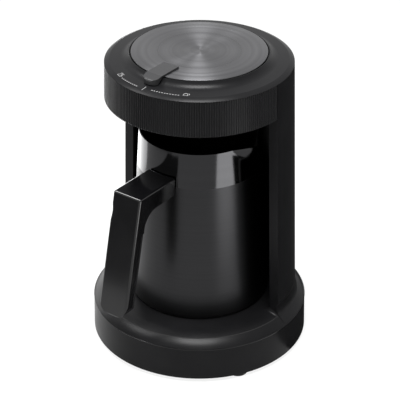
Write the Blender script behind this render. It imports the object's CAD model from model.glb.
import math
import bmesh
import bpy
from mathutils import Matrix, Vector


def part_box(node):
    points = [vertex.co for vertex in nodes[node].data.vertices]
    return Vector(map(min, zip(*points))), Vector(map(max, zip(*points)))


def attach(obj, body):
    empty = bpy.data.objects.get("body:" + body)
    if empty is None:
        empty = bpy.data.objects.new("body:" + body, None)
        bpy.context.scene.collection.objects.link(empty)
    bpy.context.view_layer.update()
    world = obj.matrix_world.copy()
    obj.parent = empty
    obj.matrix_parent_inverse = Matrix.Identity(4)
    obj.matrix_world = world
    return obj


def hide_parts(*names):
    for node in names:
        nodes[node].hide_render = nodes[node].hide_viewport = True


# Packed model and camera: the machine seen from its front right corner and from
# above, with a long lens, as for a catalogue picture. Sizes below are in metres.
MM = 0.001
bpy.ops.wm.read_factory_settings(use_empty=True)
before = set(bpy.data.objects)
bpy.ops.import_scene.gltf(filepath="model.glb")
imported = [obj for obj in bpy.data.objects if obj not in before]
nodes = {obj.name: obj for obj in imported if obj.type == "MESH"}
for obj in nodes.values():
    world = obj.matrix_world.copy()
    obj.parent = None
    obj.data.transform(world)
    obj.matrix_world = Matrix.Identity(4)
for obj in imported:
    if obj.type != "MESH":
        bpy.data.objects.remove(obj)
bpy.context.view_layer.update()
scene = bpy.context.scene

VIEW_AZIMUTH, VIEW_HEIGHT = math.radians(37.0), math.radians(30.12)
VIEW_DISTANCE, AIM_HEIGHT = 1.296, 0.1102
camera = bpy.data.objects.new("camera", bpy.data.cameras.new("camera"))
scene.collection.objects.link(camera)
scene.camera = camera
camera.data.lens, camera.data.sensor_width = 153.0, 36.0
camera.data.shift_x = 0.0015
camera.data.clip_start, camera.data.clip_end = 0.05, 20.0
back = Vector((math.sin(VIEW_AZIMUTH) * math.cos(VIEW_HEIGHT),
               -math.cos(VIEW_AZIMUTH) * math.cos(VIEW_HEIGHT), math.sin(VIEW_HEIGHT)))
camera.location = Vector((0, 0, AIM_HEIGHT)) + back * VIEW_DISTANCE
camera.rotation_mode = "QUATERNION"
camera.rotation_quaternion = (-back).to_track_quat("-Z", "Y")


# Base: housing, deck and floor plate moulded in black ABS with a fine spark-eroded
# grain, clipped together along the seam ring and screwed up from below.
def colour(code):
    """Linear RGBA of an sRGB hex colour."""
    parts = [int(code[i:i + 2], 16) / 255 for i in (0, 2, 4)]
    return [c / 12.92 if c <= 0.04045 else ((c + 0.055) / 1.055) ** 2.4 for c in parts] + [1.0]


def add(tree, kind, inputs=None, **settings):
    """Adds a node with its settings; an input takes a value or another node's output."""
    made = tree.nodes.new(kind)
    for name, value in settings.items():
        setattr(made, name, value)
    for socket, value in (inputs or {}).items():
        if isinstance(value, bpy.types.NodeSocket):
            tree.links.new(value, made.inputs[socket])
        else:
            made.inputs[socket].default_value = value
    return made


def new_material(name):
    """Empty material, with its tree, its shader and its place on the object."""
    material = bpy.data.materials.new(name)
    material.use_nodes = True
    tree = material.node_tree
    tree.nodes.clear()
    shader = add(tree, "ShaderNodeBsdfPrincipled")
    output = add(tree, "ShaderNodeOutputMaterial", {"Surface": shader.outputs[0]})
    output.location.x = 300
    place = add(tree, "ShaderNodeTexCoord").outputs["Object"]
    return material, tree, shader, place


def moulded_plastic(name, dark, light, roughness, specular, grain, depth):
    """Moulded plastic: grain is the texture's pitch and depth its height, both in millimetres."""
    material, tree, shader, place = new_material(name)
    cloud = add(tree, "ShaderNodeTexNoise", {"Vector": place, "Scale": 45.0, "Detail": 3.0})
    ramp = add(tree, "ShaderNodeValToRGB", {"Fac": cloud.outputs["Fac"]})
    ramp.color_ramp.elements[0].position, ramp.color_ramp.elements[0].color = 0.3, colour(dark)
    ramp.color_ramp.elements[1].position, ramp.color_ramp.elements[1].color = 0.7, colour(light)
    tree.links.new(ramp.outputs["Color"], shader.inputs["Base Color"])
    fine = add(tree, "ShaderNodeTexNoise", {"Vector": place, "Scale": 1 / (grain * MM), "Detail": 2.0})
    rough = add(tree, "ShaderNodeMapRange", {"Value": cloud.outputs["Fac"], "From Min": 0.3, "From Max": 0.7,
                                            "To Min": roughness - 0.03, "To Max": roughness + 0.04})
    tree.links.new(rough.outputs["Result"], shader.inputs["Roughness"])
    bump = add(tree, "ShaderNodeBump",
               {"Height": fine.outputs["Fac"], "Strength": 0.5, "Distance": depth * MM})
    tree.links.new(bump.outputs["Normal"], shader.inputs["Normal"])
    shader.inputs["Specular IOR Level"].default_value = specular
    return material


def finish_node(name, material):
    """Gives a CAD node its material."""
    mesh = nodes[name].data
    mesh.materials.clear()
    mesh.materials.append(material)


# Grained black ABS: nearly black, soft wide highlights, a grain that only breaks them up
shell_black = moulded_plastic("grained_black_abs", "111112", "141415", 0.31, 0.08, 0.5, 0.02)
for name in ("base_housing", "base_cover", "base_floor"):
    finish_node(name, shell_black)

# Black thermoplastic rubber: dull, a little dusty, with a slightly uneven skin
foot_rubber = moulded_plastic("black_tpe_rubber", "141414", "191919", 0.78, 0.3, 0.9, 0.05)
for name in ("foot_right", "foot_left", "foot_back", "cord_bush", "wire_harness"):
    finish_node(name, foot_rubber)


# Screws: four pan heads with a cross recess under the base, and four under the head,
# cold-formed in zinc-plated steel and driven up into the posts.
def plain_metal(name, code, roughness, grain):
    """Worked steel: grain is the pitch of its fine scratches in millimetres."""
    material, tree, shader, place = new_material(name)
    streak = add(tree, "ShaderNodeTexNoise", {"Vector": place, "Scale": 1 / (grain * MM), "Detail": 4.0})
    rough = add(tree, "ShaderNodeMapRange", {"Value": streak.outputs["Fac"], "From Min": 0.3, "From Max": 0.7,
                                            "To Min": roughness - 0.06, "To Max": roughness + 0.06})
    tree.links.new(rough.outputs["Result"], shader.inputs["Roughness"])
    bump = add(tree, "ShaderNodeBump",
               {"Height": streak.outputs["Fac"], "Strength": 0.3, "Distance": 0.01 * MM})
    tree.links.new(bump.outputs["Normal"], shader.inputs["Normal"])
    shader.inputs["Base Color"].default_value = colour(code)
    shader.inputs["Metallic"].default_value = 1.0
    return material


def new_piece(name, points, faces, material):
    """New mesh object at the origin, smooth, in the scene."""
    mesh = bpy.data.meshes.new(name)
    mesh.from_pydata([Vector(p) for p in points], [], faces)
    mesh.update()
    piece = bpy.data.objects.new(name, mesh)
    scene.collection.objects.link(piece)
    if material:
        mesh.materials.append(material)
    return piece


def new_tree(name, sizes):
    """Geometry tree with a geometry input and output and one named input for each size."""
    tree = bpy.data.node_groups.new(name, "GeometryNodeTree")
    tree.interface.new_socket("Geometry", in_out="INPUT", socket_type="NodeSocketGeometry")
    tree.interface.new_socket("Geometry", in_out="OUTPUT", socket_type="NodeSocketGeometry")
    for label, value in sizes.items():
        kind = {int: "NodeSocketInt", float: "NodeSocketFloat"}.get(type(value), "NodeSocketMaterial")
        tree.interface.new_socket(label, in_out="INPUT", socket_type=kind)
    return tree, add(tree, "NodeGroupInput"), add(tree, "NodeGroupOutput")


def grow(piece, tree, sizes):
    """Runs a geometry tree on a piece with these sizes and keeps the result as its plain mesh."""
    modifier = piece.modifiers.new("grow", "NODES")
    modifier.node_group = tree
    for item in tree.interface.items_tree:
        if item.in_out == "INPUT" and item.name in sizes:
            modifier[item.identifier] = sizes[item.name]
    graph = bpy.context.evaluated_depsgraph_get()
    mesh = bpy.data.meshes.new_from_object(piece.evaluated_get(graph), depsgraph=graph)
    piece.modifiers.remove(modifier)
    piece.data = mesh
    return piece


# Zinc-plated steel: pale, slightly blue, with a satin drawn surface
zinc_steel = plain_metal("zinc_plated_steel", "b4b8bb", 0.35, 0.6)

screw_sizes = {"Head radius": 3.0 * MM, "Head height": 1.5 * MM, "Shank radius": 1.5 * MM,
               "Shank length": 12.0 * MM, "Recess width": 0.8 * MM, "Finish": zinc_steel}
screw_tree, ins, outs = new_tree("pan_head_screws", screw_sizes)
cap = add(screw_tree, "GeometryNodeMeshCone",
          {"Vertices": 24, "Radius Top": ins.outputs["Head radius"], "Radius Bottom": 0.0022,
           "Depth": ins.outputs["Head height"]})
arm = add(screw_tree, "ShaderNodeCombineXYZ",
          {"X": ins.outputs["Head radius"], "Y": ins.outputs["Recess width"],
           "Z": ins.outputs["Head height"]})
arm_box = add(screw_tree, "GeometryNodeMeshCube", {"Size": arm.outputs[0]})
cross_arm = add(screw_tree, "GeometryNodeTransform", {"Geometry": arm_box.outputs["Mesh"],
                                                      "Rotation": (0.0, 0.0, math.pi / 2)})
cross = add(screw_tree, "GeometryNodeMeshBoolean", {"Mesh 2": arm_box.outputs["Mesh"]}, operation="UNION")
screw_tree.links.new(cross_arm.outputs["Geometry"], cross.inputs["Mesh 2"])
low_cross = add(screw_tree, "GeometryNodeTransform", {"Geometry": cross.outputs["Mesh"],
                                                      "Translation": (0.0, 0.0, -0.0003)})
headed = add(screw_tree, "GeometryNodeMeshBoolean", {"Mesh 1": cap.outputs["Mesh"],
                                                    "Mesh 2": low_cross.outputs["Geometry"]})
shank = add(screw_tree, "GeometryNodeMeshCylinder",
            {"Vertices": 16, "Radius": ins.outputs["Shank radius"], "Depth": ins.outputs["Shank length"]})
half_shank = add(screw_tree, "ShaderNodeMath", {0: ins.outputs["Shank length"], 1: 0.5}, operation="MULTIPLY")
half_head = add(screw_tree, "ShaderNodeMath", {0: ins.outputs["Head height"], 1: -0.5}, operation="MULTIPLY")
shank_lift = add(screw_tree, "ShaderNodeCombineXYZ", {"Z": half_shank.outputs[0]})
head_drop = add(screw_tree, "ShaderNodeCombineXYZ", {"Z": half_head.outputs[0]})
shank_up = add(screw_tree, "GeometryNodeTransform", {"Geometry": shank.outputs["Mesh"],
                                                     "Translation": shank_lift.outputs[0]})
head_down = add(screw_tree, "GeometryNodeTransform", {"Geometry": headed.outputs["Mesh"],
                                                      "Translation": head_drop.outputs[0]})
screw = add(screw_tree, "GeometryNodeJoinGeometry", {"Geometry": shank_up.outputs["Geometry"]})
screw_tree.links.new(head_down.outputs["Geometry"], screw.inputs["Geometry"])
screws = add(screw_tree, "GeometryNodeInstanceOnPoints", {"Points": ins.outputs["Geometry"],
                                                          "Instance": screw.outputs["Geometry"]})
real = add(screw_tree, "GeometryNodeRealizeInstances", {"Geometry": screws.outputs["Instances"]})
painted = add(screw_tree, "GeometryNodeSetMaterial", {"Geometry": real.outputs["Geometry"],
                                                      "Material": ins.outputs["Finish"]})
screw_tree.links.new(painted.outputs["Geometry"], outs.inputs["Geometry"])


def screw_set(name, node, circle, height):
    """Four screws on the diagonals of a circle, with their seats at a height."""
    seats = [(circle * math.sin(a), -circle * math.cos(a), height)
             for a in (math.radians(45 + 90 * quarter) for quarter in range(4))]
    piece = grow(new_piece(name, seats, [], None), screw_tree, screw_sizes)
    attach(piece, "root")
    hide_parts(node)


screw_set("base_screw_set", "base_screws", 61.0 * MM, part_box("base_screws")[0].z + 1.5 * MM)
screw_set("head_screw_set", "head_screws", 55.0 * MM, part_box("head_screws")[0].z + 1.5 * MM)


# Inside the base: the power board with its parts, and under the hot plate the heater
# ring, its shield and the controls, all standard bought-in parts.
moulded_inner = moulded_plastic("moulded_pbt", "2c2c2e", "343436", 0.5, 0.4, 0.8, 0.02)
for name in ("terminal_block", "relay", "transformer", "capacitor", "thermostat", "temperature_sensor",
             "thermal_fuse", "foam_sensor", "buzzer", "rotary_switch", "switch_bush", "selector_carrier"):
    finish_node(name, moulded_inner)
# Lacquered fibreglass board: green, glossy, with the weave just showing
circuit_board = moulded_plastic("lacquered_board", "0d4427", "125332", 0.3, 0.5, 0.4, 0.02)
for name in ("power_board", "control_board"):
    finish_node(name, circuit_board)
for name in ("heating_element", "heat_shield", "selector_shaft", "shaft_clip"):
    finish_node(name, zinc_steel)

# Hot plate: a drawn steel pan under a black heat-proof coating, which lies in the hole
# of the deck on a silicone ring, so that no spilt coffee runs down to the heater.
# Coated steel: charcoal with a faint orange-peel skin
plate_coated = moulded_plastic("heat_proof_coating", "19191a", "1e1e1f", 0.5, 0.35, 1.2, 0.03)
finish_node("hot_plate", plate_coated)
finish_node("plate_seal", foot_rubber)

# Column: a half-round outer wall with flat end faces, in the same grained black, and a
# glossy liner clipped in behind the jug.
finish_node("column_shell", shell_black)
# Polished black ABS: mirror-like, with a very slight ripple from the mould
gloss_black = moulded_plastic("polished_black_abs", "060607", "08080a", 0.12, 0.2, 6.0, 0.01)
finish_node("column_liner", gloss_black)


# Head band: the front half of the head's side, moulded with upright ribs 1.75 mm
# apart that let the light run down them, over a plain wall behind.
def turned_piece(name, outline, material, start=0.0, sweep=360.0, steps=192):
    """Turns a closed outline of (radius, height) in millimetres about the upright axis, from an
    angle that is measured from the front towards the right."""
    closed = sweep >= 360.0
    columns = steps if closed else steps + 1
    points, faces, count = [], [], len(outline)
    for column in range(columns):
        angle = math.radians(start + sweep * column / steps)
        for radius, height in outline:
            points.append((radius * MM * math.sin(angle), -radius * MM * math.cos(angle), height * MM))
    for column in range(steps):
        here, there = column * count, (column + 1) % columns * count
        for row in range(count):
            after = (row + 1) % count
            faces.append((here + row, there + row, there + after, here + after))
    if not closed:
        faces.append(tuple(range(count)))
        faces.append(tuple(reversed(range(len(points) - count, len(points)))))
    return new_piece(name, points, faces, material)


def tidy_faces(piece, sharp=35.0):
    """Merges doubles, points the faces outwards and shades them smooth up to a sharp angle."""
    shape = bmesh.new()
    shape.from_mesh(piece.data)
    bmesh.ops.remove_doubles(shape, verts=shape.verts, dist=0.00001)
    bmesh.ops.recalc_face_normals(shape, faces=shape.faces)
    for edge in shape.edges:
        edge.smooth = len(edge.link_faces) == 2 and edge.calc_face_angle(0.0) < math.radians(sharp)
    for face in shape.faces:
        face.smooth = True
    shape.to_mesh(piece.data)
    shape.free()


BAND_LOW, BAND_HIGH, BAND_LOW_RADIUS, BAND_HIGH_RADIUS = 201.0, 228.5, 70.186, 69.4
RIB_DEPTH, BAND_WALL = 0.45, 2.0
band = turned_piece("ribbed_band", [
    (BAND_LOW_RADIUS - RIB_DEPTH, BAND_LOW + 0.2), (BAND_HIGH_RADIUS - RIB_DEPTH, BAND_HIGH - 0.2),
    (BAND_HIGH_RADIUS - RIB_DEPTH - BAND_WALL, BAND_HIGH - 0.2),
    (BAND_LOW_RADIUS - RIB_DEPTH - BAND_WALL, BAND_LOW + 0.2)], shell_black, -90.0, 180.0, 96)
tidy_faces(band)

rib_sizes = {"Ribs": 125, "Rib radius": 0.62 * MM, "Rib height": (BAND_HIGH - BAND_LOW - 0.1) * MM,
             "Circle": ((BAND_LOW_RADIUS + BAND_HIGH_RADIUS) / 2 - 0.62) * MM,
             "Middle height": (BAND_LOW + BAND_HIGH) / 2 * MM,
             "Lean": math.atan((BAND_LOW_RADIUS - BAND_HIGH_RADIUS) / (BAND_HIGH - BAND_LOW)),
             "Finish": shell_black}
rib_tree, ins, outs = new_tree("upright_ribs", rib_sizes)
bar = add(rib_tree, "GeometryNodeMeshCylinder", {"Vertices": 10, "Radius": ins.outputs["Rib radius"],
                                                 "Depth": ins.outputs["Rib height"]})
soft_bar = add(rib_tree, "GeometryNodeSetShadeSmooth", {"Geometry": bar.outputs["Mesh"],
                                                       "Selection": bar.outputs["Side"]})
spots = add(rib_tree, "GeometryNodePoints", {"Count": ins.outputs["Ribs"]})
number = add(rib_tree, "GeometryNodeInputIndex")
middle = add(rib_tree, "ShaderNodeMath", {0: number.outputs[0], 1: 0.5}, operation="ADD")
pitch = add(rib_tree, "ShaderNodeMath", {0: math.pi, 1: ins.outputs["Ribs"]}, operation="DIVIDE")
along = add(rib_tree, "ShaderNodeMath", {0: middle.outputs[0], 1: pitch.outputs[0]}, operation="MULTIPLY")
turn = add(rib_tree, "ShaderNodeMath", {0: along.outputs[0], 1: math.pi / 2}, operation="SUBTRACT")
sine = add(rib_tree, "ShaderNodeMath", {0: turn.outputs[0]}, operation="SINE")
cosine = add(rib_tree, "ShaderNodeMath", {0: turn.outputs[0]}, operation="COSINE")
across = add(rib_tree, "ShaderNodeMath", {0: sine.outputs[0], 1: ins.outputs["Circle"]},
             operation="MULTIPLY")
front = add(rib_tree, "ShaderNodeMath", {0: cosine.outputs[0], 1: ins.outputs["Circle"]},
            operation="MULTIPLY")
front_back = add(rib_tree, "ShaderNodeMath", {0: front.outputs[0], 1: -1.0}, operation="MULTIPLY")
spot = add(rib_tree, "ShaderNodeCombineXYZ", {"X": across.outputs[0], "Y": front_back.outputs[0],
                                             "Z": ins.outputs["Middle height"]})
placed = add(rib_tree, "GeometryNodeSetPosition", {"Geometry": spots.outputs[0], "Position": spot.outputs[0]})
lean_back = add(rib_tree, "ShaderNodeMath", {0: ins.outputs["Lean"], 1: -1.0}, operation="MULTIPLY")
facing = add(rib_tree, "ShaderNodeCombineXYZ", {"X": lean_back.outputs[0], "Z": turn.outputs[0]})
ribs = add(rib_tree, "GeometryNodeInstanceOnPoints", {"Points": placed.outputs["Geometry"],
                                                      "Instance": soft_bar.outputs["Geometry"],
                                                      "Rotation": facing.outputs[0]})
real = add(rib_tree, "GeometryNodeRealizeInstances", {"Geometry": ribs.outputs["Instances"]})
painted = add(rib_tree, "GeometryNodeSetMaterial", {"Geometry": real.outputs["Geometry"],
                                                    "Material": ins.outputs["Finish"]})
whole = add(rib_tree, "GeometryNodeJoinGeometry", {"Geometry": ins.outputs["Geometry"]})
rib_tree.links.new(painted.outputs["Geometry"], whole.inputs["Geometry"])
rib_tree.links.new(whole.outputs["Geometry"], outs.inputs["Geometry"])
grow(band, rib_tree, rib_sizes)
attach(band, "root")
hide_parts("head_band")

# Head cover and underside: the bell-shaped ring round the knob, and the plate over the
# jug with the dark window of the foam sensor.
finish_node("head_cover", shell_black)
finish_node("head_underside", shell_black)


# Base trim: the rounded parting edge round the housing, polished by the mould's split, the
# seam where the deck is clipped in, and the fillets at the feet of the column's end faces.
rim_bead = turned_piece("rim_bead", [(82.25 + 0.45 * math.cos(a), 28.65 + 0.45 * math.sin(a))
                                     for a in (math.radians(45 * k) for k in range(8))], gloss_black)
deck_seam = turned_piece("deck_seam", [(74.8, 33.9), (75.25, 33.7), (75.25, 34.02), (74.8, 34.22)],
                         foot_rubber, -90.0, 180.0, 96)
for piece, finish in ((rim_bead, "gloss_black"), (deck_seam, "foot_rubber")):
    tidy_faces(piece)
    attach(piece, "root")

TOE_LINE = [(63.0, 36.0, 0.6), (66.0, 36.0, 3.2), (69.4, 35.7, 3.0), (72.4, 35.0, 2.4), (75.0, 34.05, 1.7),
            (77.6, 32.4, 1.1), (79.7, 31.0, 0.7), (81.4, 29.7, 0.3)]
for side, label in ((1, "right"), (-1, "left")):
    points, faces, count = [], [], 9
    for across, height, curve in TOE_LINE:
        arc = [(-curve + curve * math.cos(a), height + curve - curve * math.sin(a))
               for a in (math.radians(90 * k / (count - 2)) for k in range(count - 1))]
        points += [(side * across * MM, y * MM, z * MM) for y, z in arc + [(0.0, height - 0.4)]]
    for row in range(len(TOE_LINE) - 1):
        first, second = row * count, (row + 1) * count
        faces += [(first + k, first + (k + 1) % count, second + (k + 1) % count, second + k)
                  for k in range(count)]
    faces += [tuple(range(count)), tuple(range(len(points) - count, len(points)))]
    toe = new_piece(f"column_toe_{label}", points, faces, shell_black)
    tidy_faces(toe)
    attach(toe, "root")

# Marks on the ring: a cup, a jug, a pointer line and rows of dashes, pad-printed in
# light grey ink. The dashes run along the ring on each side of the pointer line.
def ring_height(radius):
    """Height of the ring's flat part, in millimetres."""
    return 231.0 - (radius - 58.5) * 0.6 / 7.0


def on_ring(degrees, radius, lift=0.05):
    """Point on the ring by its angle from the front and its radius in millimetres."""
    angle = math.radians(degrees)
    return (radius * MM * math.sin(angle), -radius * MM * math.cos(angle), (ring_height(radius) + lift) * MM)


def printed_lines(name, strokes, width):
    """Thin ink strokes; each is a row of (angle, radius) points on the ring, width in millimetres."""
    points, faces = [], []
    for stroke in strokes:
        for (a0, r0), (a1, r1) in zip(stroke, stroke[1:]):
            start, end = Vector(on_ring(a0, r0)), Vector(on_ring(a1, r1))
            side = (end - start).cross(Vector((0, 0, 1))).normalized() * width * MM / 2
            ahead = (end - start).normalized() * 0.1 * MM
            first = len(points)
            points += [start - side - ahead, start + side - ahead, end + side + ahead, end - side + ahead]
            points += [p + Vector((0, 0, 0.02 * MM)) for p in points[-4:]]
            faces += [(first, first + 1, first + 2, first + 3), (first + 7, first + 6, first + 5, first + 4)]
            faces += [(first + k, first + 4 + k, first + 4 + (k + 1) % 4, first + (k + 1) % 4)
                      for k in range(4)]
    piece = new_piece(name, points, faces, ink_grey)
    tidy_faces(piece)
    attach(piece, "root")
    return piece


# Pad-printed ink: light grey, matt, slightly uneven where the pad lifted
ink_grey = moulded_plastic("pad_printed_grey", "7c7c7c", "8c8c8c", 0.6, 0.3, 0.3, 0.01)
cup = [[(-26.6, 65.2), (-26.0, 62.6), (-23.6, 62.6), (-23.4, 65.2), (-26.6, 65.2)],
       [(-23.5, 64.6), (-22.6, 64.2), (-23.5, 63.4)], [(-27.0, 61.6), (-23.2, 61.6)]]
jug = [[(26.6, 63.6), (27.2, 61.2), (29.2, 61.2), (29.8, 63.6), (26.6, 63.6)],
       [(29.4, 61.6), (30.6, 61.4), (30.7, 62.8)], [(28.2, 61.2), (28.2, 60.4)]]
printed_lines("ring_symbols", cup + jug + [[(0.0, 62.2), (0.0, 67.0)]], 0.4)
dashes = [[(-20.6 + 1.8 * k, 65.0), (-19.8 + 1.8 * k, 65.0)] for k in range(9)]
dashes += [[(5.4 + 1.8 * k, 64.0), (6.2 + 1.8 * k, 64.0)] for k in range(11)]
printed_lines("ring_dashes", dashes, 0.8)

# Sensor window: dark red tinted polycarbonate, polished
window, tree, shader, place = new_material("tinted_window")
haze = add(tree, "ShaderNodeTexNoise", {"Vector": place, "Scale": 400.0})
tint = add(tree, "ShaderNodeValToRGB", {"Fac": haze.outputs["Fac"]})
tint.color_ramp.elements[0].color, tint.color_ramp.elements[1].color = colour("2a0507"), colour("3a0709")
tree.links.new(tint.outputs["Color"], shader.inputs["Base Color"])
shader.inputs["Roughness"].default_value = 0.08
finish_node("foam_lens", window)


# Knob: a disc spun from aluminium and anodised dark grey, on a moulded carrier. The
# turning tool leaves fine rings, which spread the light into two wedges.
BRUSH_SPAN = 0.1


def polar_map(piece, upright):
    """UV map whose first direction runs across the brush lines: outwards, or upwards if upright."""
    layer = piece.data.uv_layers.new(name="brush")
    for loop in piece.data.loops:
        x, y, z = piece.data.vertices[loop.vertex_index].co
        across = z if upright else math.hypot(x, y)
        layer.data[loop.index].uv = (across / BRUSH_SPAN, math.atan2(y, x) / (2 * math.pi))
    for face in piece.data.polygons:
        turns = [layer.data[k].uv[1] for k in face.loop_indices]
        if max(turns) - min(turns) > 0.5:
            for k in face.loop_indices:
                if layer.data[k].uv[1] < 0:
                    layer.data[k].uv[1] += 1.0


def rings_material(name, dark, light, roughness, vary, spread, groove, depth, upright):
    """Metal brushed in rings: groove is their pitch and depth their height, in millimetres."""
    material, tree, shader, place = new_material(name)
    parts = add(tree, "ShaderNodeSeparateXYZ", {"Vector": place})
    if upright:
        across = parts.outputs["Z"]
    else:
        flat = add(tree, "ShaderNodeCombineXYZ", {"X": parts.outputs["X"], "Y": parts.outputs["Y"]})
        length = add(tree, "ShaderNodeVectorMath", {0: flat.outputs[0]}, operation="LENGTH")
        across = length.outputs["Value"]
    fine = add(tree, "ShaderNodeTexNoise", {"W": across, "Scale": 1 / (groove * MM), "Detail": 2.0},
               noise_dimensions="1D")
    broad = add(tree, "ShaderNodeTexNoise", {"W": across, "Scale": 1 / (groove * 6 * MM), "Detail": 2.0},
                noise_dimensions="1D")
    both = add(tree, "ShaderNodeMath", {0: fine.outputs["Fac"], 1: broad.outputs["Fac"]}, operation="ADD")
    ramp = add(tree, "ShaderNodeValToRGB", {"Fac": broad.outputs["Fac"]})
    ramp.color_ramp.elements[0].position, ramp.color_ramp.elements[0].color = 0.3, colour(dark)
    ramp.color_ramp.elements[1].position, ramp.color_ramp.elements[1].color = 0.7, colour(light)
    tree.links.new(ramp.outputs["Color"], shader.inputs["Base Color"])
    rough = add(tree, "ShaderNodeMapRange", {"Value": both.outputs[0], "From Min": 0.6, "From Max": 1.4,
                                            "To Min": roughness - vary, "To Max": roughness + vary})
    tree.links.new(rough.outputs["Result"], shader.inputs["Roughness"])
    bump = add(tree, "ShaderNodeBump",
               {"Height": fine.outputs["Fac"], "Strength": 0.4, "Distance": depth * MM})
    tree.links.new(bump.outputs["Normal"], shader.inputs["Normal"])
    lay = add(tree, "ShaderNodeTangent", direction_type="UV_MAP", uv_map="brush")
    tree.links.new(lay.outputs["Tangent"], shader.inputs["Tangent"])
    shader.inputs["Metallic"].default_value = 1.0
    shader.inputs["Anisotropic"].default_value = spread
    return material


# Spun and anodised aluminium: mid grey rings with a soft metallic sheen
spun_disc = rings_material("spun_anodised_aluminium", "5a5a5c", "68686a", 0.32, 0.05, 0.85, 0.9, 0.02, False)
DISC_RADIUS, DISC_TOP, DISC_SHEET = 50.0, 236.0, 1.4
disc = turned_piece("spun_disc_face", [
    (0.01, DISC_TOP), (0.01, DISC_TOP - DISC_SHEET), (DISC_RADIUS - 0.6, DISC_TOP - DISC_SHEET),
    (DISC_RADIUS, DISC_TOP - DISC_SHEET + 0.6), (DISC_RADIUS, DISC_TOP - 0.4),
    (DISC_RADIUS - 0.12, DISC_TOP - 0.12), (DISC_RADIUS - 0.4, DISC_TOP), (40.0, DISC_TOP), (30.0, DISC_TOP),
    (20.0, DISC_TOP), (10.0, DISC_TOP), (3.0, DISC_TOP)], spun_disc)
tidy_faces(disc)
polar_map(disc, False)
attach(disc, "selector")
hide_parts("selector_disc")

# Lever: a finger bar moulded in dark grey ABS with a downturned end, snapped over the
# disc's edge, where it turns the knob and points to the marks on the ring.
# Satin dark grey ABS: lighter than the shell, so that the pointer shows
lever_grey = moulded_plastic("satin_grey_abs", "262627", "2b2b2c", 0.36, 0.2, 0.5, 0.015)
finish_node("selector_lever", lever_grey)

# Jug: a cone of dark tinted stainless steel, drawn thin, with a polished neck band, a
# pressed beak to the machine's right and a heavy disc pressed into its bottom.
satin_steel = rings_material("satin_tinted_steel", "303031", "323233", 0.34, 0.01, 0.5, 0.35, 0.004, True)
neck_steel = rings_material("polished_tinted_steel", "303031", "323233", 0.12, 0.01, 0.3, 1.5, 0.0004, True)
POT_LOW, POT_HIGH, POT_FOOT, POT_RIM, POT_WALL = 37.0, 174.0, 53.0, 45.2, 1.2
NECK_LINE, POT_FLOOR, SEAT = 146.0, 40.7, 49.1
BEAK_REACH, BEAK_HALF, BEAK_DROP = 8.6, 21.0, 17.0


def pot_radius(height):
    return POT_FOOT - (height - POT_LOW) * (POT_FOOT - POT_RIM) / (POT_HIGH - POT_LOW)


def beak(angle, height):
    """How far the beak stands out of the wall at an angle from its middle and at a height."""
    grown = (height - POT_HIGH + BEAK_DROP) / BEAK_DROP
    if grown <= 0:
        return 0.0
    radius, half, reach = pot_radius(height), BEAK_HALF * grown, BEAK_REACH * grown
    if abs(angle) >= half:
        return 0.0
    turned, corner = math.radians(abs(angle)), math.radians(half)
    corner_x, corner_y, tip_x = radius * math.cos(corner), radius * math.sin(corner), radius + reach
    across = corner_y * math.cos(turned) + (tip_x - corner_x) * math.sin(turned)
    return max(tip_x * corner_y / across - radius, 0.0)


STEPS, NECK_ROW = 240, 6
heights = [POT_LOW + 1.6, 60.0, 80.0, 100.0, 120.0, NECK_LINE - 0.3, NECK_LINE, 150.0]
heights += [POT_HIGH - BEAK_DROP + 1.7 * k for k in range(11)]
turns = [(column * 360 / STEPS + 180) % 360 - 180 for column in range(STEPS)]
outer = [[beak(turn, height) for turn in turns] for height in heights]
for _ in range(2):
    outer = [[(row[k - 1] + 2 * row[k] + row[(k + 1) % STEPS]) / 4 for k in range(STEPS)] for row in outer]
rows = [("ring", SEAT, POT_FLOOR - 1.2), ("ring", SEAT, POT_LOW), ("ring", POT_FOOT - 1.6, POT_LOW),
        ("ring", POT_FOOT - 0.5, POT_LOW + 0.45)]
rows += [("wall", 0.0, k) for k in range(len(heights))]
rows += [("lip", -0.6, 0.35), ("lip", -1.0, 0.2)]
rows += [("inner", POT_WALL, k) for k in reversed(range(NECK_ROW, len(heights)))]
rows += [("ring", pot_radius(NECK_LINE) - POT_WALL, NECK_LINE), ("ring", pot_radius(44) - POT_WALL, 44.0),
         ("ring", pot_radius(42) - POT_WALL - 2, POT_FLOOR)]
points, faces, finishes = [], [], []
for kind, first, second in rows:
    for column in range(STEPS):
        angle = math.radians(column * 360 / STEPS)
        if kind == "ring":
            radius, height = first, second
        elif kind == "lip":
            radius, height = POT_RIM + outer[-1][column] + first, POT_HIGH - 0.35 + second
        else:
            radius, height = pot_radius(heights[second]) + outer[second][column] - first, heights[second]
            height = min(height, POT_HIGH - 0.35)
        points.append((radius * MM * math.cos(angle), radius * MM * math.sin(angle), height * MM))
for row in range(len(rows) - 1):
    kind, _, level = rows[row]
    polished = kind == "lip" or (kind == "wall" and level >= NECK_ROW)
    here, above = row * STEPS, (row + 1) * STEPS
    for column in range(STEPS):
        after = (column + 1) % STEPS
        faces.append((here + column, here + after, above + after, above + column))
        finishes.append(1 if polished else 0)
faces += [tuple(reversed(range(STEPS))), tuple(range((len(rows) - 1) * STEPS, len(rows) * STEPS))]
finishes += [0, 0]
pot = new_piece("jug_body", points, faces, satin_steel)
pot.data.materials.append(neck_steel)
for face, number in zip(pot.data.polygons, finishes):
    face.material_index = number
tidy_faces(pot, 40.0)
polar_map(pot, True)
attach(pot, "pot")
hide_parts("pot_body")
for name in ("pot_base_disc", "handle_bracket", "handle_screw"):
    finish_node(name, zinc_steel)

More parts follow.
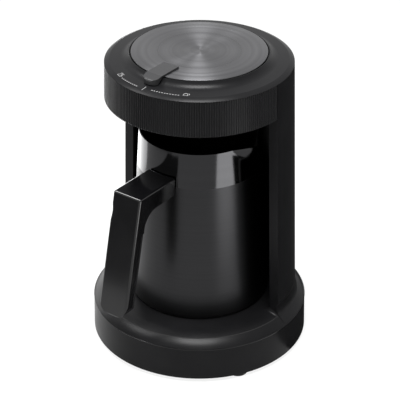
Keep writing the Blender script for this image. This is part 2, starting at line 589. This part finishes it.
# Handle: an outer moulding in polished black with a satin liner strip on its inside,
# pushed over the steel tang of the jug and held by one screw up through the arm.
handle_black = moulded_plastic("polished_black_handle", "060607", "080809", 0.12, 0.4, 5.0, 0.01)
finish_node("handle_outer", handle_black)
liner_black = moulded_plastic("satin_black_liner", "0e0e0f", "121213", 0.35, 0.2, 0.5, 0.015)
finish_node("handle_liner", liner_black)

# Studio: a pale floor and surroundings that show white, soft lights overhead, at the left
# and low on the right, and two dark cards on the floor that only the gloss shows, as a
# photographer lays them beside black plastic to keep its sides from going pale.
def seen_directly(tree):
    """One for camera, glossy and transmission rays, and nothing for the light that falls on pieces."""
    rays = add(tree, "ShaderNodeLightPath")
    share = rays.outputs["Is Camera Ray"]
    for kind in ("Is Glossy Ray", "Is Transmission Ray"):
        share = add(tree, "ShaderNodeMath", {0: share, 1: rays.outputs[kind]}, operation="MAXIMUM").outputs[0]
    return share


FLOOR_GLOW = 0.85
floor_material = bpy.data.materials.new("pale_floor")
floor_material.use_nodes = True
tree = floor_material.node_tree
tree.nodes.clear()
matt = add(tree, "ShaderNodeBsdfDiffuse", {"Color": colour("f4f4f4")})
glow = add(tree, "ShaderNodeEmission", {"Color": (1, 1, 1, 1), "Strength": 1.0})
share = add(tree, "ShaderNodeMath", {0: seen_directly(tree), 1: FLOOR_GLOW}, operation="MULTIPLY")
mixed = add(tree, "ShaderNodeMixShader", {0: share.outputs[0], 1: matt.outputs[0], 2: glow.outputs[0]})
add(tree, "ShaderNodeOutputMaterial", {"Surface": mixed.outputs[0]})
floor = new_piece("floor", [(-6, -6, 0), (6, -6, 0), (6, 6, 0), (-6, 6, 0)], [(0, 1, 2, 3)], floor_material)

world = bpy.data.worlds.new("studio")
scene.world = world
world.use_nodes = True
tree = world.node_tree
tree.nodes.clear()
room = add(tree, "ShaderNodeBackground", {"Color": (1, 1, 1, 1), "Strength": 0.45})
white = add(tree, "ShaderNodeBackground", {"Color": (1, 1, 1, 1), "Strength": 1.0})
mixed = add(tree, "ShaderNodeMixShader", {0: seen_directly(tree), 1: room.outputs[0], 2: white.outputs[0]})
add(tree, "ShaderNodeOutputWorld", {"Surface": mixed.outputs[0]})


def soft_light(name, azimuth, distance, height, tilt, width, depth, power):
    """Rectangular soft light; azimuth runs from the front to the right and tilt is its beam's rise."""
    lamp = bpy.data.objects.new(name, bpy.data.lights.new(name, "AREA"))
    scene.collection.objects.link(lamp)
    lamp.data.shape, lamp.data.size, lamp.data.size_y, lamp.data.energy = "RECTANGLE", width, depth, power
    a, e = math.radians(azimuth), math.radians(tilt)
    beam = Vector((-math.sin(a) * math.cos(e), math.cos(a) * math.cos(e), math.sin(e)))
    lamp.location = (distance * math.sin(a), -distance * math.cos(a), height)
    lamp.rotation_mode = "QUATERNION"
    lamp.rotation_quaternion = beam.to_track_quat("-Z", "Y")
    lamp.visible_camera = False


soft_light("overhead", 30, 0.21, 1.10, -78, 0.40, 0.40, 19.5)
soft_light("left_high", -63, 0.47, 0.77, -54, 0.25, 0.25, 4)
soft_light("left_panel", -105, 0.25, 0.11, 0, 0.36, 0.18, 0.7)
soft_light("right_panel", 82, 0.37, 0.002, 88, 0.22, 0.46, 1.9)


CARD_HEIGHT = 0.0005


def floor_card(name, code, near, far, turns):
    """Matt card on the floor, a sector between two radii, seen only in the gloss of the pieces."""
    card_material = bpy.data.materials.new(name)
    card_material.use_nodes = True
    tree = card_material.node_tree
    tree.nodes.clear()
    matt = add(tree, "ShaderNodeBsdfDiffuse", {"Color": colour(code)})
    add(tree, "ShaderNodeOutputMaterial", {"Surface": matt.outputs[0]})
    sides = [(math.sin(math.radians(a)), -math.cos(math.radians(a))) for a in turns]
    corners = [(x * near, y * near, CARD_HEIGHT) for x, y in sides]
    corners += [(x * far, y * far, CARD_HEIGHT) for x, y in sides[::-1]]
    card = new_piece(name, corners, [tuple(range(len(corners)))], card_material)
    card.visible_camera = card.visible_diffuse = card.visible_shadow = card.visible_transmission = False


floor_card("back_card", "303030", 0.02, 0.9, (97, 130, 160, 190, 215))
floor_card("front_card", "686868", 0.47, 1.8, (-52, -30, -12))

scene.view_settings.view_transform = "Standard"
